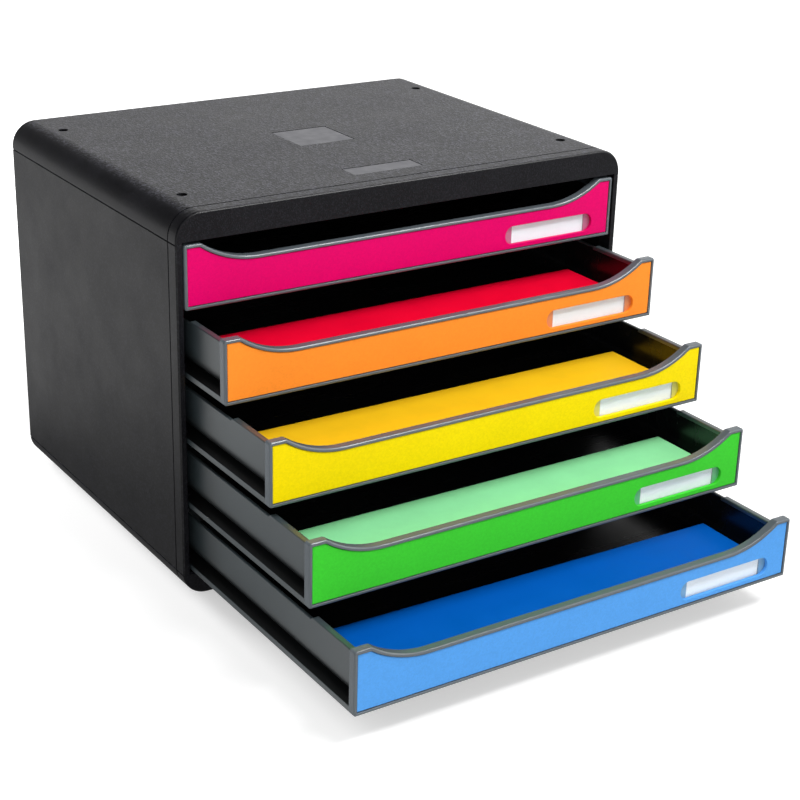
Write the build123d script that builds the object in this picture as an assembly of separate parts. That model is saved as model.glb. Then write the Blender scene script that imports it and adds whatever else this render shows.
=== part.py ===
from build123d import *
import os
from math import acos, degrees, sin

# Document drawer box: a desktop cabinet with five pull-out drawers for papers.
# Millimetres. X runs to the right, the fronts face -Y, +Z is up, and the origin is on the table
# under the middle of the casing. Every drawer is modelled shut and then drawn out by its own amount.

# Casing
casing_width = 355.0
casing_depth = 270.0
edge_radius = 18.0         # rounded long edges, the same at the top and at the bottom
edge_break = 1.0           # bevel round the front and rear outlines
skin = 2.5                 # wall of the mouldings
base_height = 16.5         # underside of the base to the lower seam
cover_height = 20.0        # upper seam to the top
collar_depth = 11.5        # thicker front band of the casing
collar_wall = 4.5
groove_width = 1.0         # line that sets the collar off from the rest
groove_depth = 0.45
seam_width = 0.8           # shadow line along the seams between cover, sides and base
seam_depth = 0.6
rail_wall = 3.0            # front rail of the cover and sill of the base
rail_lift = 1.3            # lower edge of the rail above the upper seam
tongue_depth = 5.0         # tongue of the cover in the side panels, and of these in the base
tongue_wall = 2.0
tongue_end_gap = 12.0      # tongue ends short of the collar and of the back seat
panel_fit = 0.15           # play between mouldings that are pushed together

# Back panel and the rib round the inside of the casing that it rests against
back_wall = 2.5
back_seat_reach = 4.0
back_seat_wall = 2.5

# Stacking holes in the cover and the feet that drop into them
stack_side = 24.5          # middle of a foot from the side of the casing
stack_end = 39.5           # middle of a foot from the front or the back
peg_radius = 3.2
peg_length = 2.5
pad_radius = 6.0
pad_height = 1.0           # pad that carries the base, above the peg
socket_play = 0.3
stem_side = 4.4            # square stem, pushed into the base
stem_grip = 3.0            # stem above the base's skin
stem_play = 0.05

# Drawers, from the top down
drawer_pulls = [0.0, 0.242, 0.505, 0.726, 0.967]  # drawn out, as a share of the travel
drawer_hold = 47.0         # length of the tray that stays inside at the stop
drawer_back_gap = 3.0      # shut tray to the rib in front of the back panel
drawer_gap = 2.8           # between one front and the next
cover_gap = 0.7            # highest front to the upper seam
seat_gap = 0.3             # runner above its ledge
stop_gap = 0.3

# Front bar of a drawer, which frames the coloured panel
band_height = 29.0         # finger edge above the lower edge of the runners
front_drop = 0.8           # front below that edge
dip_depth = 13.6           # finger edge below the raised ends
dip_radius = 69.0          # curve from the finger edge up to a raised end
end_radius = 4.0           # where that curve turns over into the raised end
end_width = 11.0           # flat length of each raised end
front_side_gap = 1.2       # front to the inside of the collar
front_backing = 2.8        # bar behind the label
frame_root = 1.5           # floor, walls and runners let into the bar
frame_border = 2.2         # grey edge round the coloured panel
upper_corner_radius = 2.0
lower_corner_bevel = 1.2
front_bevel = 0.8          # bevel round the bar's front face and round its rear face
rear_bevel = 1.6

# Coloured front panel and label
panel_wall = 2.6
panel_setback = 0.7        # panel behind the bar's front edge
panel_gap = 0.4            # shadow line between the panel and the grey edge
slot_length = 76.8
slot_height = 13.2
slot_side = 14.5           # slot to the panel's right edge
slot_lift = 3.5            # slot above the panel's lower edge
window_margin = 1.4        # clear strip past the slot
window_wall = 0.8
card_length = 64.0
card_shift = 0.8           # card to the right of the slot's middle
card_margin = 0.3          # card short of the clear strip, above and below
card_wall = 0.4
label_play = 0.2

# Tray
tray_wall = 2.5
tray_floor = 2.2
corner_radius = 9.5        # inside, between floor and wall
wall_drop = 5.6            # top of the wall below the raised ends of the front
step_y = 58.0              # where the wall steps down, behind the front face
step_drop = 1.7
step_slope = 2.5           # length of the ramp at the step
bead_reach = 2.0           # bead inside the raised stretch of the wall
bead_height = 3.0
wall_rounding = 0.9
wall_setback = 4.5         # wall inside the runner's edge
runner_side_gap = 1.45     # runner to the inside of the collar
runner_plate = 1.8
runner_lip = 2.2           # lip along both edges of the runner
runner_lip_height = 2.0
runner_overlap = 6.0       # runner under the flat of the floor
lug_length = 6.0           # stop lug at the rear of each runner
lug_height = 2.5
lug_width = 3.0

# Ledges and keepers on the side panels
ledge_reach = 12.0
ledge_wall = 2.5
ledge_lift = 0.2           # lowest ledge above the lower seam
keeper_wall = 2.5
keeper_gap = 0.5           # keeper above the runner
keeper_side_gap = 1.0      # keeper to the tray's wall

# Stacks of coloured sheets lying in the drawers
sheet_stack = 9.5
sheet_depth = 54.0
sheet_side_gap = 1.0       # stack to the start of the floor's rounding
sheet_gaps = [None, 13.3, 12.3, 3.9, 5.9]  # stack behind the front bar, top down; the first has none
sheet_turns = [0.0, 0.0, 0.0, 0.0, -1.2]   # degrees that the stack lies askew

# Places worked out from the sizes above
front_y = -casing_depth / 2
back_y = casing_depth / 2
foot_height = peg_length + pad_height
front_height = band_height + dip_depth
drawer_pitch = front_height + front_drop + drawer_gap
lower_seam = foot_height + base_height
lowest_drawer = lower_seam + ledge_lift + ledge_wall + seat_gap
highest_drawer = lowest_drawer + (len(drawer_pulls) - 1) * drawer_pitch
drawer_bottoms = [highest_drawer - n * drawer_pitch for n in range(len(drawer_pulls))]
upper_seam = highest_drawer + front_height + cover_gap
casing_top = upper_seam + cover_height
rib_root = skin / 2        # ribs are let into the wall that they stand on
inner_half = casing_width / 2 - skin
collar_half = casing_width / 2 - collar_wall
stack_x = casing_width / 2 - stack_side
stack_y = casing_depth / 2 - stack_end
stack_places = [(x, y) for x in (-stack_x, stack_x) for y in (-stack_y, stack_y)]
socket_radius = peg_radius + socket_play
back_seat_y = back_y - back_wall
back_rib_y = back_seat_y - back_seat_wall

front_half = collar_half - front_side_gap
pocket_depth = panel_setback + panel_wall
label_depth = pocket_depth + window_wall + card_wall + label_play
front_depth = label_depth + front_backing
root_y = front_depth - frame_root
slot_x = front_half - frame_border - slot_side - slot_length / 2
slot_z = frame_border - front_drop + slot_lift + slot_height / 2
window_length = slot_length + 2 * window_margin
window_height = slot_height + 2 * window_margin

runner_half = collar_half - runner_side_gap
wall_half = runner_half - wall_setback
wall_inner = wall_half - tray_wall
floor_half = wall_inner - corner_radius
runner_top = runner_lip_height + runner_plate
floor_height = runner_top + tray_floor
front_wall_height = front_height - wall_drop
rear_wall_height = front_wall_height - step_drop
tray_length = back_rib_y - drawer_back_gap - front_y
drawer_travel = tray_length - drawer_hold


def prism(sketch, y_from, y_to):
    """Extrudes a sketch drawn as (x, z) between two depths."""
    plane = Plane(origin=(0, y_to, 0), x_dir=(1, 0, 0), z_dir=(0, -1, 0))
    return extrude(plane * sketch, amount=y_to - y_from)


def rectangle(x_from, x_to, z_from, z_to):
    """A rectangle in a sketch, given by its limits."""
    return Pos((x_from + x_to) / 2, (z_from + z_to) / 2) * Rectangle(x_to - x_from, z_to - z_from)


def block(x_from, x_to, y_from, y_to, z_from, z_to):
    """A box given by its limits."""
    return prism(rectangle(x_from, x_to, z_from, z_to), y_from, y_to)


def upright(radius, z_from, z_to):
    """A vertical cylinder given by its ends."""
    return Pos(0, 0, z_from) * Cylinder(radius, z_to - z_from, align=(Align.CENTER, Align.CENTER, Align.MIN))


def square_bar(half, z_from, z_to):
    """A vertical square bar given by half its side and its ends."""
    return block(-half, half, -half, half, z_from, z_to)


def mirrored(shape):
    """The shape and its mirror image on the other side of the box."""
    return shape + mirror(shape, Plane.YZ)


# Casing: one rounded tube with its collar, groove and back rib, cut along the seams

def casing_outline(inset):
    """Front outline of the casing, drawn in by an inset."""
    height = casing_top - foot_height
    sketch = RectangleRounded(casing_width - 2 * inset, height - 2 * inset, edge_radius - inset)
    return Pos(0, foot_height + height / 2) * sketch


def casing_tube():
    body = prism(casing_outline(0), front_y, back_y)
    ends = body.edges().filter_by_position(Axis.Y, front_y, front_y)
    ends += body.edges().filter_by_position(Axis.Y, back_y, back_y)
    body = chamfer(ends, edge_break)
    body -= prism(casing_outline(collar_wall), front_y, front_y + collar_depth)
    body -= prism(casing_outline(skin), front_y + collar_depth, back_y)
    rib = casing_outline(skin - rib_root) - casing_outline(skin + back_seat_reach)
    body += prism(rib, back_rib_y, back_seat_y)
    groove_y = front_y + collar_depth - groove_width
    groove = casing_outline(-groove_width) - casing_outline(groove_depth)
    body -= prism(groove, groove_y, groove_y + groove_width)
    for seam in (lower_seam, upper_seam):
        line = casing_outline(-seam_depth) - casing_outline(seam_depth)
        line &= rectangle(-casing_width, casing_width, seam - seam_width / 2, seam + seam_width / 2)
        body -= prism(line, front_y, back_y)
    return body


def end_wall(z_from, z_to):
    """Front wall between the two sides of the collar, cut to the casing's rounded outline."""
    filled = casing_outline(skin) & rectangle(-casing_width, casing_width, z_from, z_to)
    return prism(filled, front_y, front_y + rail_wall)


def tongue_ring(inset, z_from, z_to):
    """A stretch of the strip that runs along the inside of the casing's outline."""
    ring = casing_outline(inset) - casing_outline(skin + panel_fit + tongue_wall)
    ring &= rectangle(-casing_width, casing_width, z_from, z_to)
    return prism(ring, front_y + collar_depth + tongue_end_gap, back_rib_y - tongue_end_gap)


def tongues(seam):
    """Strips that hang below a seam, inside the wall there, from a root above the seam."""
    strip = tongue_ring(skin + panel_fit, seam - tongue_depth, seam + tongue_wall)
    return strip + tongue_ring(skin - rib_root, seam + panel_fit, seam + tongue_wall)


def top_cover(tube):
    cover = split(tube, Plane.XY.offset(upper_seam), keep=Keep.TOP)
    cover += end_wall(upper_seam + rail_lift, casing_top)
    cover += tongues(upper_seam)
    for x, y in stack_places:
        cover -= Pos(x, y) * upright(socket_radius, casing_top - skin, casing_top)
    return cover


def base(tube):
    shell = split(tube, Plane.XY.offset(lower_seam), keep=Keep.BOTTOM)
    shell += end_wall(foot_height, lower_seam)
    for x, y in stack_places:
        shell -= Pos(x, y) * square_bar(stem_side / 2 + stem_play, foot_height, foot_height + skin)
    return shell


def right_side_panel(tube):
    """Side of the casing with a ledge under each drawer's runner and a keeper over it.

    The front of the keeper stops the drawer when it is shut, its rear end catches the stop lug.
    """
    middle = split(tube, Plane.XY.offset(lower_seam), keep=Keep.TOP)
    middle = split(middle, Plane.XY.offset(upper_seam), keep=Keep.BOTTOM)
    panel = split(middle + tongues(lower_seam), Plane.YZ, keep=Keep.TOP)
    root_x = inner_half + rib_root
    ledge_front = front_y + collar_depth - skin
    keeper_front = front_y + front_depth + stop_gap
    keeper_rear = front_y + drawer_hold - lug_length - stop_gap
    for bottom in drawer_bottoms:
        seat = bottom - seat_gap
        panel += block(inner_half - ledge_reach, root_x, ledge_front, back_seat_y, seat - ledge_wall, seat)
        low = bottom + runner_top + keeper_gap
        panel += block(wall_half + keeper_side_gap, root_x, keeper_front, keeper_rear, low, low + keeper_wall)
    return panel


def back_panel():
    return prism(casing_outline(skin + panel_fit), back_seat_y, back_y)


def stacking_feet():
    foot = upright(peg_radius, 0, peg_length)
    foot += upright(pad_radius, peg_length, foot_height)
    foot += square_bar(stem_side / 2, foot_height, foot_height + skin + stem_grip)
    return Compound(children=[Pos(x, y) * foot for x, y in stack_places])


# Drawer: drawn with its front face at y = 0 and the lower edge of its runners at z = 0

def front_outline():
    """Front of a drawer: raised ends and, between them, a finger edge that dips in two tangent arcs."""
    slope = acos(1 - dip_depth / (dip_radius + end_radius))
    turn = degrees(slope)
    end_x = front_half - end_width
    dip_x = end_x - (dip_radius + end_radius) * sin(slope)
    half = Curve() + [
        Line((0, -front_drop), (front_half, -front_drop)),
        Line((front_half, -front_drop), (front_half, front_height)),
        Line((front_half, front_height), (end_x, front_height)),
        CenterArc((end_x, front_height - end_radius), end_radius, 90, turn),
        CenterArc((dip_x, band_height + dip_radius), dip_radius, -90, turn),
        Line((dip_x, band_height), (0, band_height)),
    ]
    face = make_face(mirrored(half))
    face = chamfer(face.vertices().group_by(Axis.Y)[0].sort_by(Axis.X)[::2], lower_corner_bevel)
    return fillet(face.vertices().group_by(Axis.Y)[-1].sort_by(Axis.X)[::3], upper_corner_radius)


def front_bar():
    """Front of the tray, bevelled all round, with a pocket for the panel and a deeper one for the label."""
    bar = prism(front_outline(), 0, front_depth)
    for y, bevel in ((0, front_bevel), (front_depth, rear_bevel)):
        bar = chamfer(bar.edges().filter_by_position(Axis.Y, y, y), bevel)
    bar -= prism(offset(front_outline(), -frame_border), 0, pocket_depth)
    pocket = Rectangle(window_length + 2 * label_play, window_height + 2 * label_play)
    return bar - prism(Pos(slot_x, slot_z) * pocket, 0, label_depth)


def trough(half, low, top, radius):
    """A channel's outline with rounded lower corners, for the inside and the outside of the tray."""
    face = rectangle(-half, half, low, top)
    return fillet(face.vertices().group_by(Axis.Y)[0], radius)


def tray_section(height, bead):
    """Cross-section of floor and walls, with a bead of the given reach inside the top of each wall."""
    section = trough(wall_half, runner_top, height, corner_radius + tray_wall)
    section -= trough(wall_inner, floor_height, height, corner_radius)
    if bead:
        section += mirrored(rectangle(wall_inner - bead, wall_half, height - bead_height, height))
    return fillet(section.vertices().group_by(Axis.Y)[-1], wall_rounding)


def step_ramp():
    """Wedge that slopes the rear end of the raised stretch of the walls."""
    corners = [
        (step_y - step_slope, front_wall_height),
        (step_y, front_wall_height),
        (step_y, rear_wall_height),
    ]
    return extrude(Plane.YZ * Polygon(*corners, align=None), amount=wall_half, both=True)


def runner():
    """Runner on the right: a channel open below, let into the front bar, with a stop lug at the rear."""
    inner = floor_half - runner_overlap
    channel = rectangle(inner, runner_half, 0, runner_top)
    channel -= rectangle(inner + runner_lip, runner_half - runner_lip, 0, runner_lip_height)
    lug_y = tray_length - lug_length
    lug = block(runner_half - lug_width, runner_half, lug_y, tray_length, runner_top, runner_top + lug_height)
    return prism(channel, root_y, tray_length) + lug


def tray():
    raised = prism(tray_section(front_wall_height, bead_reach), root_y, step_y) - step_ramp()
    body = front_bar() + raised
    body += prism(tray_section(rear_wall_height, 0), step_y, tray_length)
    rear = trough(wall_half, runner_top, rear_wall_height, corner_radius + tray_wall)
    body += prism(rear, tray_length - tray_wall, tray_length)
    return body + mirrored(runner())


def front_panel():
    plate = offset(front_outline(), -frame_border - panel_gap)
    plate -= Pos(slot_x, slot_z) * SlotOverall(slot_length, slot_height)
    return prism(plate, panel_setback, pocket_depth)


def label_window():
    strip = Pos(slot_x, slot_z) * Rectangle(window_length, window_height)
    return prism(strip, pocket_depth, pocket_depth + window_wall)


def label_card():
    card = Pos(slot_x + card_shift, slot_z) * Rectangle(card_length, window_height - 2 * card_margin)
    front = pocket_depth + window_wall
    return prism(card, front, front + card_wall)


def sheet(gap, turn):
    half = floor_half - sheet_side_gap
    stack = block(-half, half, -sheet_depth / 2, sheet_depth / 2, floor_height, floor_height + sheet_stack)
    return Pos(0, front_depth + gap + sheet_depth / 2) * Rot(0, 0, turn) * stack


def export(node, shape):
    export_step(shape, f"parts/{node}.step")


os.makedirs("parts", exist_ok=True)

tube = casing_tube()
right = right_side_panel(tube)
export("top_cover", top_cover(tube))
export("base", base(tube))
export("right_side_panel", right)
export("left_side_panel", mirror(right, Plane.YZ))
export("back_panel", back_panel())
export("stacking_feet", stacking_feet())

pieces = {
    "tray": tray(),
    "front_panel": front_panel(),
    "label_window": label_window(),
    "label_card": label_card(),
}
drawers = zip(drawer_bottoms, drawer_pulls, sheet_gaps, sheet_turns)
for n, (bottom, pull, gap, turn) in enumerate(drawers, start=1):
    place = Pos(0, front_y - pull * drawer_travel, bottom)
    for name, shape in pieces.items():
        export(f"drawer_{n}_{name}", place * shape)
    if gap is not None:
        export(f"drawer_{n}_sheet", place * sheet(gap, turn))
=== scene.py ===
import math

import bmesh
import bpy
from mathutils import Matrix, Vector


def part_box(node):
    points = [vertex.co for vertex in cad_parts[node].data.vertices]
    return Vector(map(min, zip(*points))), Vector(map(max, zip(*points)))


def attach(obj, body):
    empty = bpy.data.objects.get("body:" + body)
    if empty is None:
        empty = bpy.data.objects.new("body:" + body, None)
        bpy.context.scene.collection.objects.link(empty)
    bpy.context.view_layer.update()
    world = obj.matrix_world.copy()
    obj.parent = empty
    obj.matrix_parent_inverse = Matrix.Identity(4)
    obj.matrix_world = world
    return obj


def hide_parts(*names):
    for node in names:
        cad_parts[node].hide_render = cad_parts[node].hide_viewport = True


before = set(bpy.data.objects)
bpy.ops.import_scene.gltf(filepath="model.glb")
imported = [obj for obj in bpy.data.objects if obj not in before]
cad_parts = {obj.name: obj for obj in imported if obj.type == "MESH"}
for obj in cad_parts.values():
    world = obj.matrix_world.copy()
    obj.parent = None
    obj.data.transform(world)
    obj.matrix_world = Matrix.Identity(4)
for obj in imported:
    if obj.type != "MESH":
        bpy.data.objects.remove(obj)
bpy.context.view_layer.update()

mm = 0.001
scene = bpy.context.scene
print("frame loaded:", len(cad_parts), "nodes")


# sRGB hex to the linear values that shaders take
def linear(hexCode):
    channels = [int(hexCode[i:i + 2], 16) / 255 for i in (1, 3, 5)]
    return [c / 12.92 if c <= 0.04045 else ((c + 0.055) / 1.055) ** 2.4 for c in channels] + [1.0]


# adds one node: settings go to its sockets or its properties, links come from other nodes' outputs
def addNode(finish, kind, settings=None, links=None):
    node = finish.node_tree.nodes.new("ShaderNode" + kind)
    for key, value in (settings or {}).items():
        if isinstance(key, int) or key in node.inputs:
            node.inputs[key].default_value = value
        else:
            setattr(node, key, value)
    for key, source in (links or {}).items():
        finish.node_tree.links.new(source, node.inputs[key])
    return node


# an empty finish, with its shader and the piece's own coordinates
def startFinish(name):
    finish = bpy.data.materials.new(name)
    finish.use_nodes = True
    shader = finish.node_tree.nodes["Principled BSDF"]
    spot = addNode(finish, "TexCoord").outputs["Object"]
    return finish, shader, spot


def join(finish, source, shader, socket):
    finish.node_tree.links.new(source, shader.inputs[socket])


polystyreneIor = 1.55
polyesterIor = 1.57
noiseBand = {"From Min": 0.3, "From Max": 0.7}   # the part of a noise's range that shows

# Polystyrene moulded against a spark-eroded tool: near black and dull, with a pebble grain. The light that
# its crests catch is painted in as paler specks, a painted glint that is strongest on faces turned upward.
grained = {
    "dark": "#0a0a0e",
    "paintedGlint": "#4f4f59",
    "specks": (0.55, 0.9),    # share of the pebbles without a painted glint, and how pale the glints get
    "mottle": (-0.04, 0.06),
    "levelFrom": 0.85,        # upward part of the normal where the full grain begins
    "upright": 0.05,          # the painted glints fade to this share where the top turns down into the smooth long edges
    "uprightBump": 0.05,
    "bump": 0.7,
    "reliefMm": 0.25,
    "grainMm": 1.3,           # real grain is about 0.5 mm, drawn coarser so that it shows
    "cloudMm": 45,            # faint handling marks
    "roughness": (0.34, 0.39),
    "gloss": 0.25,
}

# Its front collar comes from a finer part of the tool, which swallows more of the shine.
collar = dict(grained, paintedGlint="#36363d", upright=0.3, uprightBump=0.4, grainMm=0.7, roughness=(0.44, 0.50),
              gloss=0.16)

# The same polystyrene against a finer tool face: the sides look smoother, with a faint satin sheen.
sidePanel = dict(grained, dark="#0b0b0d", paintedGlint="#24242a", upright=1.0, uprightBump=0.10, bump=0.10,
                 grainMm=1.0, roughness=(0.33, 0.44), gloss=0.30)


def grainedPolystyrene(name, look):
    finish, shader, spot = startFinish(name)
    pebble = addNode(finish, "TexVoronoi", {"Scale": 1 / (look["grainMm"] * mm), "Randomness": 1.0},
                     {"Vector": spot})
    cloud = addNode(finish, "TexNoise",
                    {"Scale": 1 / (look["cloudMm"] * mm), "Detail": 4.0, "Roughness": 0.6}, {"Vector": spot})
    speck = addNode(finish, "SeparateColor", links={"Color": pebble.outputs["Color"]})
    speckFrom, speckMost = look["specks"]
    glints = addNode(finish, "MapRange", {"From Min": speckFrom, "From Max": 1.0, "To Max": speckMost},
                   {"Value": speck.outputs["Red"]})
    low, high = look["mottle"]
    mottle = addNode(finish, "MapRange", {**noiseBand, "To Min": low, "To Max": high},
                     {"Value": cloud.outputs["Fac"]})
    normal = addNode(finish, "NewGeometry").outputs["Normal"]
    facing = addNode(finish, "SeparateXYZ", links={"Vector": normal})
    upward = {"From Min": look["levelFrom"], "From Max": 1.0}
    # the painted glints are strongest on faces turned upward
    level = addNode(finish, "MapRange", {**upward, "To Min": look["upright"]}, {"Value": facing.outputs["Z"]})
    amount = addNode(finish, "Math", {"operation": "MULTIPLY_ADD", "use_clamp": True},
                     {0: glints.outputs["Result"], 1: level.outputs["Result"], 2: mottle.outputs["Result"]})
    tint = addNode(finish, "Mix", {"data_type": "RGBA", 6: linear(look["dark"]), 7: linear(look["paintedGlint"])},
                   {0: amount.outputs["Value"]})
    low, high = look["roughness"]
    dull = addNode(finish, "MapRange", {**noiseBand, "To Min": low, "To Max": high},
                   {"Value": cloud.outputs["Fac"]})
    height = addNode(finish, "MapRange", {**upward, "To Min": look["uprightBump"], "To Max": look["bump"]},
                     {"Value": facing.outputs["Z"]})
    relief = addNode(finish, "Bump", {"Distance": look["reliefMm"] * mm},
                     {"Strength": height.outputs["Result"], "Height": pebble.outputs["Distance"]})
    join(finish, tint.outputs[2], shader, "Base Color")
    join(finish, dull.outputs["Result"], shader, "Roughness")
    join(finish, relief.outputs["Normal"], shader, "Normal")
    shader.inputs["IOR"].default_value = polystyreneIor
    shader.inputs["Specular IOR Level"].default_value = look["gloss"]
    return finish


# Polished tool face: the bare plates in the top are smooth, and their paler grey is a painted reflection of
# the bright backdrop. The feet come from a plainer tool and are dull and black.
plateReflectionLook = {"colour": "#5a5a5f", "cloudMm": 9, "roughness": (0.34, 0.46), "bump": 0.08, "reliefMm": 0.1}
footLook = dict(plateReflectionLook, colour="#1b1b1d", cloudMm=6, roughness=(0.5, 0.6))


def polishedPolystyrene(name, look):
    finish, shader, spot = startFinish(name)
    cloud = addNode(finish, "TexNoise", {"Scale": 1 / (look["cloudMm"] * mm), "Detail": 3.0},
                    {"Vector": spot})
    low, high = look["roughness"]
    dull = addNode(finish, "MapRange", {**noiseBand, "To Min": low, "To Max": high},
                   {"Value": cloud.outputs["Fac"]})
    relief = addNode(finish, "Bump", {"Strength": look["bump"], "Distance": look["reliefMm"] * mm},
                     {"Height": cloud.outputs["Fac"]})
    shader.inputs["Base Color"].default_value = linear(look["colour"])
    shader.inputs["IOR"].default_value = polystyreneIor
    join(finish, dull.outputs["Result"], shader, "Roughness")
    join(finish, relief.outputs["Normal"], shader, "Normal")
    return finish


# Slate grey polystyrene, moulded smooth: a polished front bar and darker walls with a glossy skin. The hollow
# is painted nearly black as painted shade, and painted shade also darkens the walls' lower part and the
# runners to black.
trayLook = {
    # painted shade under the walls and on the runners' tops
    "under": "#06080a",
    "flowMm": (90, 14, 30),   # faint flow marks, drawn out along the tray
    "peelMm": 1.6,            # slight orange peel
    "bump": 0.03,
    "reliefMm": 0.1,
    "fadeMm": (6.0, 20.0),    # height over which the painted shade on the wall fades from dark to slate
    "lipMm": (170.9, 171.5),  # the runner's outer face stays slate, free of the painted shade
}
barLook = {"colours": ("#596065", "#5d646a"), "roughness": (0.20, 0.22), "gloss": 0.5, "coat": 0.0}
wallLook = {"colours": ("#343e42", "#384246"), "roughness": (0.37, 0.41), "gloss": 1.0, "coat": 0.7}
# the hollow is the same slate as the walls, painted nearly black as painted shade
insideShadeLook = {"colours": ("#0d0e10", "#121315"), "roughness": (0.22, 0.30), "gloss": 0.5, "coat": 0.0}


def satinTray(name, look, bottomZ=None):
    finish, shader, spot = startFinish(name)
    stretch = addNode(finish, "Mapping", {"Scale": [1 / (size * mm) for size in trayLook["flowMm"]]},
                      {"Vector": spot})
    flow = addNode(finish, "TexNoise", {"Scale": 1.0, "Detail": 4.0, "Distortion": 0.4},
                   {"Vector": stretch.outputs["Vector"]})
    peel = addNode(finish, "TexNoise", {"Scale": 1 / (trayLook["peelMm"] * mm), "Detail": 2.0},
                   {"Vector": spot})
    share = addNode(finish, "MapRange", noiseBand, {"Value": flow.outputs["Fac"]})
    dark, pale = (linear(colour) for colour in look["colours"])
    tint = addNode(finish, "Mix", {"data_type": "RGBA", 6: dark, 7: pale}, {0: share.outputs["Result"]})
    # painted shade: low on the wall and on the runner's top the slate is painted dark, fading up the wall
    if bottomZ is not None:
        place = addNode(finish, "SeparateXYZ", links={"Vector": spot})
        halfX = addNode(finish, "Math", {"operation": "ABSOLUTE"}, {0: place.outputs["X"]})
        shadeFrom, shadeTo = (bottomZ + height * mm for height in trayLook["fadeMm"])
        lipFrom, lipTo = (reach * mm for reach in trayLook["lipMm"])
        wall = addNode(finish, "MapRange",
                       {"From Min": shadeFrom, "From Max": shadeTo, "interpolation_type": "SMOOTHSTEP"},
                       {"Value": place.outputs["Z"]})
        lip = addNode(finish, "MapRange", {"From Min": lipFrom, "From Max": lipTo},
                      {"Value": halfX.outputs["Value"]})
        unshaded = addNode(finish, "Math", {"operation": "MAXIMUM"},
                       {0: wall.outputs["Result"], 1: lip.outputs["Result"]})
        tint = addNode(finish, "Mix", {"data_type": "RGBA", 6: linear(trayLook["under"])},
                       {0: unshaded.outputs["Value"], 7: tint.outputs[2]})
    low, high = look["roughness"]
    dull = addNode(finish, "MapRange", {**noiseBand, "To Min": low, "To Max": high},
                   {"Value": flow.outputs["Fac"]})
    relief = addNode(finish, "Bump", {"Strength": trayLook["bump"], "Distance": trayLook["reliefMm"] * mm},
                     {"Height": peel.outputs["Fac"]})
    join(finish, tint.outputs[2], shader, "Base Color")
    join(finish, dull.outputs["Result"], shader, "Roughness")
    join(finish, relief.outputs["Normal"], shader, "Normal")
    shader.inputs["IOR"].default_value = polystyreneIor
    shader.inputs["Specular IOR Level"].default_value = look["gloss"]
    shader.inputs["Coat Weight"].default_value = look["coat"]
    shader.inputs["Coat Roughness"].default_value = high
    return finish


# Coloured polystyrene panel, through-dyed and lightly grained: strong colour with a soft sheen.
panelLook = {
    "grainMm": 1.1,           # drawn about twice as coarse as the real grain, so that it shows
    "cloudMm": 38,
    "patternSum": (0.3, 1.7),   # grain and clouds added up
    "value": (0.93, 1.05),
    "roughness": 0.45,
    "gloss": 0.07,
    "bump": 0.10,
    "reliefMm": 0.1,
}


def dyedPanel(name, hexCode):
    finish, shader, spot = startFinish(name)
    pebble = addNode(finish, "TexVoronoi", {"Scale": 1 / (panelLook["grainMm"] * mm)}, {"Vector": spot})
    cloud = addNode(finish, "TexNoise", {"Scale": 1 / (panelLook["cloudMm"] * mm), "Detail": 3.0},
                    {"Vector": spot})
    speck = addNode(finish, "SeparateColor", links={"Color": pebble.outputs["Color"]})
    blend = addNode(finish, "Math", {"operation": "ADD"},
                    {0: speck.outputs["Red"], 1: cloud.outputs["Fac"]})
    sumFrom, sumTo = panelLook["patternSum"]
    low, high = panelLook["value"]
    value = addNode(finish, "MapRange",
                    {"From Min": sumFrom, "From Max": sumTo, "To Min": low, "To Max": high},
                    {"Value": blend.outputs["Value"]})
    tint = addNode(finish, "HueSaturation", {"Color": linear(hexCode)}, {"Value": value.outputs["Result"]})
    relief = addNode(finish, "Bump", {"Strength": panelLook["bump"], "Distance": panelLook["reliefMm"] * mm},
                     {"Height": pebble.outputs["Distance"]})
    join(finish, tint.outputs["Color"], shader, "Base Color")
    join(finish, relief.outputs["Normal"], shader, "Normal")
    shader.inputs["Roughness"].default_value = panelLook["roughness"]
    shader.inputs["IOR"].default_value = polystyreneIor
    shader.inputs["Specular IOR Level"].default_value = panelLook["gloss"]
    return finish


# Clear polyester strip: the card shows through it; its ends take the panel's colour, paled by a painted
# reflection.
stripLook = {
    "colour": "#f4f8fa",
    "alpha": (0.08, 0.9),     # over the card and at the ends
    "fadeMm": 0.4,
    "roughness": 0.12,
}


def clearStrip(name, ends, cardFrom, cardTo):
    finish, shader, spot = startFinish(name)
    place = addNode(finish, "SeparateXYZ", links={"Vector": spot})
    fade = stripLook["fadeMm"] * mm
    before = addNode(finish, "MapRange",
                     {"From Min": cardFrom - fade, "From Max": cardFrom, "To Min": 1.0, "To Max": 0.0},
                     {"Value": place.outputs["X"]})
    after = addNode(finish, "MapRange", {"From Min": cardTo, "From Max": cardTo + fade},
                    {"Value": place.outputs["X"]})
    bare = addNode(finish, "Math", {"operation": "MAXIMUM"},
                   {0: before.outputs["Result"], 1: after.outputs["Result"]})
    low, high = stripLook["alpha"]
    solid = addNode(finish, "MapRange", {"To Min": low, "To Max": high}, {"Value": bare.outputs["Value"]})
    tint = addNode(finish, "Mix", {"data_type": "RGBA", 6: linear(stripLook["colour"]), 7: linear(ends)},
                   {0: bare.outputs["Value"]})
    join(finish, tint.outputs[2], shader, "Base Color")
    join(finish, solid.outputs["Result"], shader, "Alpha")
    shader.inputs["Roughness"].default_value = stripLook["roughness"]
    shader.inputs["IOR"].default_value = polyesterIor
    return finish


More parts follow.
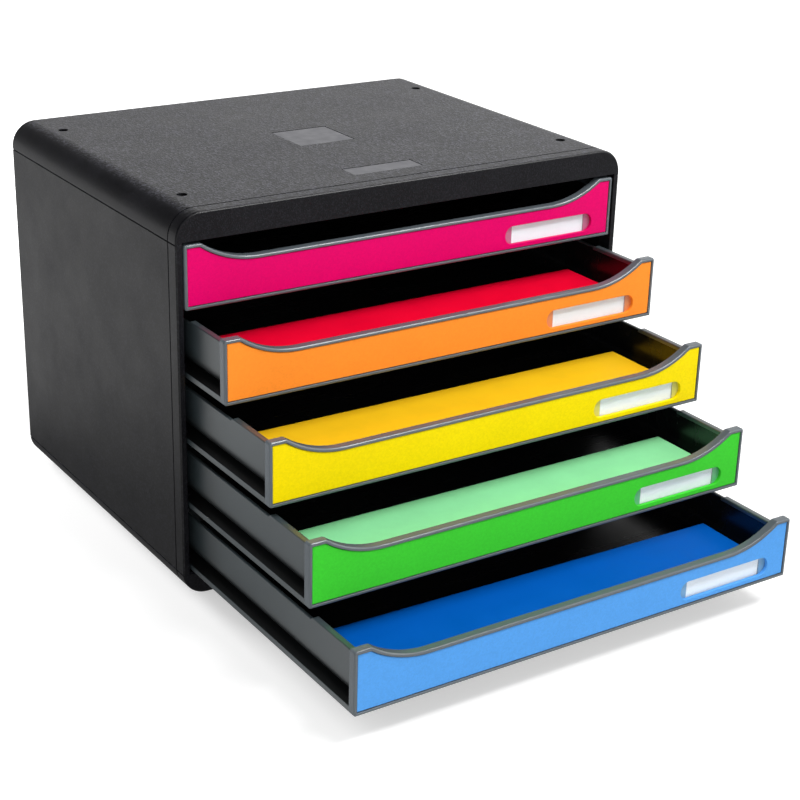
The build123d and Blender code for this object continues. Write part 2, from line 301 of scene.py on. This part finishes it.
# Coloured card, calendered: flat colour with faint scuffs and a low sheen. The sheets' edges show as fine
# lines round a stack.
cardLook = {
    "fibreMm": (0.9, 7.0, 0.9),     # drawn far coarser than real fibres, so that they show
    "sheetMm": (140, 140, 0.5),     # drawn about twice as thick as a real sheet, so that the lines show
    "sheetLine": (0.4, 0.6),
    "sideFacing": (0.3, 0.7),       # upward part of the normal: lines below, none above
    "scuffMm": 26,
    "gloss": 0.12,
    "bump": 0.05,
    "reliefMm": 0.05,
}
stackLook = {"scuff": (0.95, 1.04), "edgeShade": 0.35, "roughness": (0.36, 0.48)}
labelLook = {"scuff": (0.99, 1.01), "edgeShade": 0.0, "roughness": (0.54, 0.66)}


def calenderedCard(name, hexCode, look):
    finish, shader, spot = startFinish(name)
    stretch = addNode(finish, "Mapping", {"Scale": [1 / (size * mm) for size in cardLook["fibreMm"]]},
                      {"Vector": spot})
    fibre = addNode(finish, "TexNoise", {"Scale": 1.0, "Detail": 3.0}, {"Vector": stretch.outputs["Vector"]})
    scuff = addNode(finish, "TexNoise",
                    {"Scale": 1 / (cardLook["scuffMm"] * mm), "Detail": 5.0, "Roughness": 0.65},
                    {"Vector": spot})
    low, high = look["scuff"]
    value = addNode(finish, "MapRange", {**noiseBand, "To Min": low, "To Max": high},
                    {"Value": scuff.outputs["Fac"]})
    layers = addNode(finish, "Mapping", {"Scale": [1 / (size * mm) for size in cardLook["sheetMm"]]},
                     {"Vector": spot})
    edge = addNode(finish, "TexNoise", {"Scale": 1.0, "Detail": 2.0}, {"Vector": layers.outputs["Vector"]})
    lineFrom, lineTo = cardLook["sheetLine"]
    line = addNode(finish, "MapRange", {"From Min": lineFrom, "From Max": lineTo},
                   {"Value": edge.outputs["Fac"]})
    normal = addNode(finish, "NewGeometry").outputs["Normal"]
    facing = addNode(finish, "SeparateXYZ", links={"Vector": normal})
    sideTo, topFrom = cardLook["sideFacing"]
    onSide = addNode(finish, "MapRange",
                     {"From Min": sideTo, "From Max": topFrom, "To Min": look["edgeShade"], "To Max": 0.0},
                     {"Value": facing.outputs["Z"]})
    darker = addNode(finish, "Math", {"operation": "MULTIPLY"},
                     {0: line.outputs["Result"], 1: onSide.outputs["Result"]})
    value = addNode(finish, "Math", {"operation": "SUBTRACT"},
                    {0: value.outputs["Result"], 1: darker.outputs["Value"]})
    tint = addNode(finish, "HueSaturation", {"Color": linear(hexCode)}, {"Value": value.outputs["Value"]})
    low, high = look["roughness"]
    dull = addNode(finish, "MapRange", {**noiseBand, "To Min": low, "To Max": high},
                   {"Value": scuff.outputs["Fac"]})
    relief = addNode(finish, "Bump", {"Strength": cardLook["bump"], "Distance": cardLook["reliefMm"] * mm},
                     {"Height": fibre.outputs["Fac"]})
    join(finish, tint.outputs["Color"], shader, "Base Color")
    join(finish, dull.outputs["Result"], shader, "Roughness")
    join(finish, relief.outputs["Normal"], shader, "Normal")
    shader.inputs["Specular IOR Level"].default_value = cardLook["gloss"]
    return finish


casingFinish = grainedPolystyrene("polystyrene_spark_grained", grained)
collarFinish = grainedPolystyrene("polystyrene_collar_grained", collar)
sideFinish = grainedPolystyrene("polystyrene_fine_grained", sidePanel)
footFinish = polishedPolystyrene("polystyrene_moulded_black", footLook)
plateFinish = polishedPolystyrene("polystyrene_polished_plate_painted_reflection", plateReflectionLook)
trayPaintedShade = satinTray("polystyrene_gloss_slate_painted_shade", insideShadeLook)
trayBar = satinTray("polystyrene_polished_slate", barLook)
print("finishes made")

# how a mesh is cleaned and shaded: angles in degrees, sizes in mm
meshCare = {
    "merge": 0.001,
    "flat": 0.3,              # faces that differ by less become one
    "softenFrom": 25,         # outer edges sharper than this are softened
    "sharpFrom": 40,          # edges sharper than this stay sharp in the shading
}
softened = {"casing": 0.25, "tray": 0.3, "panel": 0.35, "sheets": 0.35}


# a copy of a CAD node with its loose triangles joined into whole faces
def wholeFaces(node):
    shell = bmesh.new()
    shell.from_mesh(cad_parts[node].data)
    bmesh.ops.remove_doubles(shell, verts=shell.verts, dist=meshCare["merge"] * mm)
    bmesh.ops.dissolve_limit(shell, angle_limit=math.radians(meshCare["flat"]), verts=shell.verts,
                             edges=shell.edges)
    return shell


# takes the sharpness off the outer edges, as a moulding tool does
def softenEdges(shell, width):
    least = math.radians(meshCare["softenFrom"])
    edges = [edge for edge in shell.edges
             if edge.is_manifold and edge.is_convex and edge.calc_face_angle() > least]
    bmesh.ops.bevel(shell, geom=edges, offset=width * mm, offset_type="OFFSET", segments=2, profile=0.5,
                    affect="EDGES", material=-1, clamp_overlap=False)


def placePiece(shell, name, body, finishes, node=None):
    mesh = bpy.data.meshes.new(name)
    shell.to_mesh(mesh)
    shell.free()
    for finish in finishes:
        mesh.materials.append(finish)
    mesh.polygons.foreach_set("use_smooth", [True] * len(mesh.polygons))
    mesh.set_sharp_from_angle(angle=math.radians(meshCare["sharpFrom"]))
    piece = bpy.data.objects.new(name, mesh)
    scene.collection.objects.link(piece)
    shade = piece.modifiers.new("evenShade", "WEIGHTED_NORMAL")
    shade.keep_sharp = True
    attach(piece, body)
    if node:
        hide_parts(node)
    return piece


def paint(node, finish):
    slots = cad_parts[node].data.materials
    slots.clear()
    slots.append(finish)


# the faces towards the front take the second finish
def markFront(shell):
    frontMost = -0.85   # forward part of the normal
    shell.normal_update()
    for face in shell.faces:
        face.material_index = 1 if face.normal.y < frontMost else 0


# Casing: the CAD shapes with softened edges
casing = {
    "base": ("base_shell", casingFinish),
    "left_side_panel": ("left_side_shell", sideFinish),
    "right_side_panel": ("right_side_shell", sideFinish),
    "back_panel": ("back_sheet", sideFinish),
}
for node, (name, finish) in casing.items():
    shell = wholeFaces(node)
    softenEdges(shell, softened["casing"])
    markFront(shell)
    placePiece(shell, name, "cabinet", [finish, collarFinish], node)
paint("stacking_feet", footFinish)

# Top cover, with two shallow recesses for bare plates, in mm
plates = {
    "middle_plate": {"at": (-1.0, -2.0), "size": (45.0, 43.0)},
    "front_plate": {"at": (-2.7, -99.0), "size": (55.4, 17.0)},
}
recess = {"deep": 0.7, "gap": 0.35, "sunk": 0.15, "corner": 0.8, "edge": 0.2}


def startBlock(size):
    block = bmesh.new()
    bmesh.ops.create_cube(block, size=1.0)
    bmesh.ops.scale(block, vec=size, verts=block.verts)
    return block


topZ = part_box("top_cover")[1].z
shell = wholeFaces("top_cover")
softenEdges(shell, softened["casing"])
markFront(shell)
cover = placePiece(shell, "cover_shell", "cabinet", [casingFinish, collarFinish], "top_cover")
for name, plate in plates.items():
    middle = Vector((plate["at"][0] * mm, plate["at"][1] * mm, topZ))
    shell = startBlock([plate["size"][0] * mm, plate["size"][1] * mm, 2 * recess["deep"] * mm])
    bmesh.ops.translate(shell, vec=middle, verts=shell.verts)
    cutMesh = bpy.data.meshes.new(name + "_cut")
    shell.to_mesh(cutMesh)
    shell.free()
    cut = bpy.data.objects.new(name + "_cut", cutMesh)
    scene.collection.objects.link(cut)
    opening = cover.modifiers.new(name, "BOOLEAN")
    opening.object = cut
    cover.modifiers.move(len(cover.modifiers) - 1, 0)
    bpy.context.view_layer.update()
    openCover = cover.evaluated_get(bpy.context.evaluated_depsgraph_get())
    cutCover = bpy.data.meshes.new_from_object(openCover)
    cover.modifiers.remove(opening)
    cover.data = cutCover
    bpy.data.objects.remove(cut)

    thick = (recess["deep"] - recess["sunk"]) * mm
    shell = startBlock([(side - 2 * recess["gap"]) * mm for side in plate["size"]] + [thick])
    uprights = [edge for edge in shell.edges if abs(edge.verts[0].co.z - edge.verts[1].co.z) > thick / 2]
    bmesh.ops.bevel(shell, geom=uprights, offset=recess["corner"] * mm, offset_type="OFFSET", segments=4,
                    profile=0.5, affect="EDGES", material=-1)
    rim = [edge for edge in shell.edges if min(v.co.z for v in edge.verts) > thick / 4]
    bmesh.ops.bevel(shell, geom=rim, offset=recess["edge"] * mm, offset_type="OFFSET", segments=2,
                    profile=0.5, affect="EDGES", material=-1)
    down = Vector((0, 0, recess["sunk"] * mm + thick / 2))
    bmesh.ops.translate(shell, vec=middle - down, verts=shell.verts)
    placePiece(shell, name, "cabinet", [plateFinish])
print("casing made")

# Drawers, from the top down; the top one is shut and empty
drawers = [
    # each strip colour is the panel's colour paled by a painted reflection, for the ends of the label strip
    {"slot": "front_pink", "panel": "#df0066", "strip": "#c56c90"},
    {"slot": "front_orange", "panel": "#ff9230", "strip": "#e8925c", "stack": ("sheet_red", "#f60432")},
    {"slot": "front_yellow", "panel": "#f7dc00", "strip": "#dcd66a", "stack": ("sheet_amber", "#ffc81c")},
    {"slot": "front_green", "panel": "#3fcd33", "strip": "#6cc088", "stack": ("sheet_mint", "#94eca8")},
    {"slot": "front_blue", "panel": "#569fe8", "strip": "#78a8cc", "stack": ("sheet_blue", "#005dbd")},
]
# which of a tray's faces count as its hollow, painted nearly black as shade, or its front bar, in mm
hollow = {
    "drop": 0.8,              # the front bar reaches this far below the rest of the tray
    "halfWidth": 164.6,
    "frontBar": 7.4,
    "barEdge": 0.2,
    "floor": 5.9,
    "wallTop": 34.0,
    "rearWall": 2.6,
}
whiteCard = calenderedCard("label_card_white", "#f4fbff", labelLook)
for number, drawer in enumerate(drawers, start=1):
    start = f"drawer_{number}_"
    body = f"drawer_{number}"
    low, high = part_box(start + "tray")
    bottom = low.z + hollow["drop"] * mm
    shell = wholeFaces(start + "tray")
    softenEdges(shell, softened["tray"])
    shell.normal_update()
    for face in shell.faces:
        spotNow = face.calc_center_median()
        inShadedHollow = (abs(spotNow.x) < hollow["halfWidth"] * mm
                  and low.y + hollow["frontBar"] * mm < spotNow.y < high.y - hollow["rearWall"] * mm
                  and bottom + hollow["floor"] * mm < spotNow.z < bottom + hollow["wallTop"] * mm)
        onBar = spotNow.y < low.y + (hollow["frontBar"] + hollow["barEdge"]) * mm
        # faces in the hollow take the painted shade, the front bar its polished finish
        face.material_index = 1 if inShadedHollow else 2 if onBar else 0
    trayWall = satinTray(f"polystyrene_satin_slate_painted_shade_{number}", wallLook, bottom)
    placePiece(shell, start + "tray_shell", body, [trayWall, trayPaintedShade, trayBar], start + "tray")

    panelFinish = dyedPanel(f"polystyrene_dyed_{number}", drawer["panel"])
    shell = wholeFaces(start + "front_panel")
    softenEdges(shell, softened["panel"])
    placePiece(shell, start + "colour_panel", body, [panelFinish], start + "front_panel")

    low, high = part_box(start + "label_card")
    strip = clearStrip(f"polyester_clear_strip_{number}", drawer["strip"], low.x, high.x)
    paint(start + "label_window", strip)
    paint(start + "label_card", whiteCard)
    if "stack" in drawer:
        slot, colour = drawer["stack"]
        sheetFinish = calenderedCard(f"card_calendered_{number}", colour, stackLook)
        shell = wholeFaces(start + "sheet")
        softenEdges(shell, softened["sheets"])
        placePiece(shell, start + "sheet_stack", body, [sheetFinish], start + "sheet")
print("drawers painted")

# Floor: pale paper that keeps the shadow. Seen straight it is lifted towards the white of the backdrop. In a
# gloss it is a plain value instead, darker near the object as a painted shadow and rising away from it.
floorLook = {
    "size": 9.0,              # metres, as the rest here
    "colour": "#dcdcdc",
    "roughness": 0.9,
    "lift": (0.48, 0.80),     # seen straight: near the object and far from it
    "liftAt": (0.45, 1.5),
    "mirrored": (0.2, 0.7),   # seen in a gloss: darker near the object as a painted shadow
    "mirroredAt": (0.24, 0.42),
}
shell = bmesh.new()
bmesh.ops.create_grid(shell, x_segments=1, y_segments=1, size=floorLook["size"])
floorMesh = bpy.data.meshes.new("floor")
shell.to_mesh(floorMesh)
shell.free()
floor = bpy.data.objects.new("floor", floorMesh)
scene.collection.objects.link(floor)
floorFinish, shader, spot = startFinish("floor_paper")
shader.inputs["Roughness"].default_value = floorLook["roughness"]
shader.inputs["Specular IOR Level"].default_value = 0.0
shader.inputs["Emission Color"].default_value = (1, 1, 1, 1)
ray = addNode(floorFinish, "LightPath")
direct = addNode(floorFinish, "Math", {"operation": "MAXIMUM"},
                 {0: ray.outputs["Is Camera Ray"], 1: ray.outputs["Is Transmission Ray"]})
away = addNode(floorFinish, "VectorMath", {"operation": "LENGTH"}, {0: spot})
near, far = floorLook["liftAt"]
low, high = floorLook["lift"]
lift = addNode(floorFinish, "MapRange", {"From Min": near, "From Max": far, "To Min": low, "To Max": high},
               {"Value": away.outputs["Value"]})
# in a gloss the floor's shadow is painted: dim near the object, brighter away from it
near, far = floorLook["mirroredAt"]
low, high = floorLook["mirrored"]
mirrored = addNode(floorFinish, "MapRange",
                   {"From Min": near, "From Max": far, "To Min": low, "To Max": high},
                   {"Value": away.outputs["Value"]})
lift = addNode(floorFinish, "Math", {"operation": "MULTIPLY"},
               {0: direct.outputs["Value"], 1: lift.outputs["Result"]})
lift = addNode(floorFinish, "Math", {"operation": "MULTIPLY_ADD"},
               {0: ray.outputs["Is Glossy Ray"], 1: mirrored.outputs["Result"], 2: lift.outputs["Value"]})
paper = addNode(floorFinish, "Mix",
                {"data_type": "RGBA", 6: linear(floorLook["colour"]), 7: linear("#000000")},
                {0: ray.outputs["Is Glossy Ray"]})
join(floorFinish, paper.outputs[2], shader, "Base Color")
join(floorFinish, lift.outputs["Value"], shader, "Emission Strength")
floorMesh.materials.append(floorFinish)

# World: plain soft fill; white where it is seen straight or through the clear strip. In a gloss it is white
# at the backdrop and dim above and to the left, like a studio's ceiling.
worldLook = {
    "fill": 0.34,
    "seen": 1.0,
    "inGloss": 1.0,
    "ceiling": 0.03,
    "dimToward": (-0.55, 0.0, 0.83),
    "dimFrom": -0.08,
    "dimTo": 0.40,
}
world = bpy.data.worlds.new("studio")
scene.world = world
world.use_nodes = True
sky = world.node_tree.nodes["Background"]
sky.inputs["Color"].default_value = (1, 1, 1, 1)
ray = addNode(world, "LightPath")
toward = addNode(world, "VectorMath", {"operation": "DOT_PRODUCT", 1: worldLook["dimToward"]},
                 {0: addNode(world, "TexCoord").outputs["Generated"]})
backdrop = addNode(world, "MapRange",
                   {"From Min": worldLook["dimFrom"], "From Max": worldLook["dimTo"],
                    "To Min": worldLook["inGloss"], "To Max": worldLook["ceiling"]},
                   {"Value": toward.outputs["Value"]})
inGloss = addNode(world, "Mix", {"data_type": "FLOAT", 2: worldLook["fill"]},
                  {0: ray.outputs["Is Glossy Ray"], 3: backdrop.outputs["Result"]})
seen = addNode(world, "Math", {"operation": "MAXIMUM"},
               {0: ray.outputs["Is Camera Ray"], 1: ray.outputs["Is Transmission Ray"]})
strength = addNode(world, "Mix", {"data_type": "FLOAT", 3: worldLook["seen"]},
                   {0: seen.outputs["Value"], 2: inGloss.outputs[0]})
join(world, strength.outputs[0], sky, "Strength")

# Soft boxes, all aimed at the middle of the object. The left one lights the drawers' sides from behind and
# isn't mirrored in them.
softBoxes = {
    "keyBox": {"at": (0.27, -0.99, 1.45), "size": (0.6, 0.2), "watts": 11},
    "rightBox": {"at": (0.72, -0.72, 1.48), "size": (0.6, 0.35), "watts": 10},
    "frontBox": {"at": (-0.9, -2.0, 0.6), "size": (1.4, 1.4), "watts": 11},
    "leftBox": {"at": (-0.52, 1.35, 0.40), "size": (0.5, 0.5), "watts": 36, "inGloss": False},
    "sideBox": {"at": (1.7, -0.9, 1.2), "size": (1.2, 1.2), "watts": 8},
}
aim = Vector((0.0, -0.1, 0.14))
for name, box in softBoxes.items():
    lamp = bpy.data.lights.new(name, "AREA")
    lamp.shape = "RECTANGLE"
    lamp.size, lamp.size_y = box["size"]
    lamp.energy = box["watts"]
    holder = bpy.data.objects.new(name, lamp)
    holder.location = box["at"]
    holder.rotation_euler = (aim - Vector(box["at"])).to_track_quat("-Z", "Y").to_euler()
    holder.visible_glossy = box.get("inGloss", True)
    scene.collection.objects.link(holder)
print("floor and light set")

# Camera, solved from the object's own edges: metres, degrees, and mm for the lens
cameraLook = {
    "at": (-0.63321, -1.07625, 0.58287),
    "azimuth": -33.619,
    "elevation": 22.572,
    "roll": 1.545,
    "lens": 78.743,
    "sensor": 36,
    "clipEnd": 50,
}
azimuth, elevation, roll = (math.radians(cameraLook[key]) for key in ("azimuth", "elevation", "roll"))
outward = math.cos(elevation)
back = Vector((math.sin(azimuth) * outward, -math.cos(azimuth) * outward, math.sin(elevation)))
side = (-back).cross(Vector((0, 0, 1))).normalized()
rise = side.cross(-back)
turnedSide = side * math.cos(roll) + rise * math.sin(roll)
turnedRise = rise * math.cos(roll) - side * math.sin(roll)
lens = bpy.data.cameras.new("camera")
lens.lens = cameraLook["lens"]
lens.sensor_width = cameraLook["sensor"]
lens.clip_end = cameraLook["clipEnd"]
camera = bpy.data.objects.new("camera", lens)
turn = Matrix((turnedSide, turnedRise, back)).transposed().to_4x4()
camera.matrix_world = Matrix.Translation(cameraLook["at"]) @ turn
scene.collection.objects.link(camera)
scene.camera = camera
scene.view_settings.view_transform = "Standard"
print("camera set")
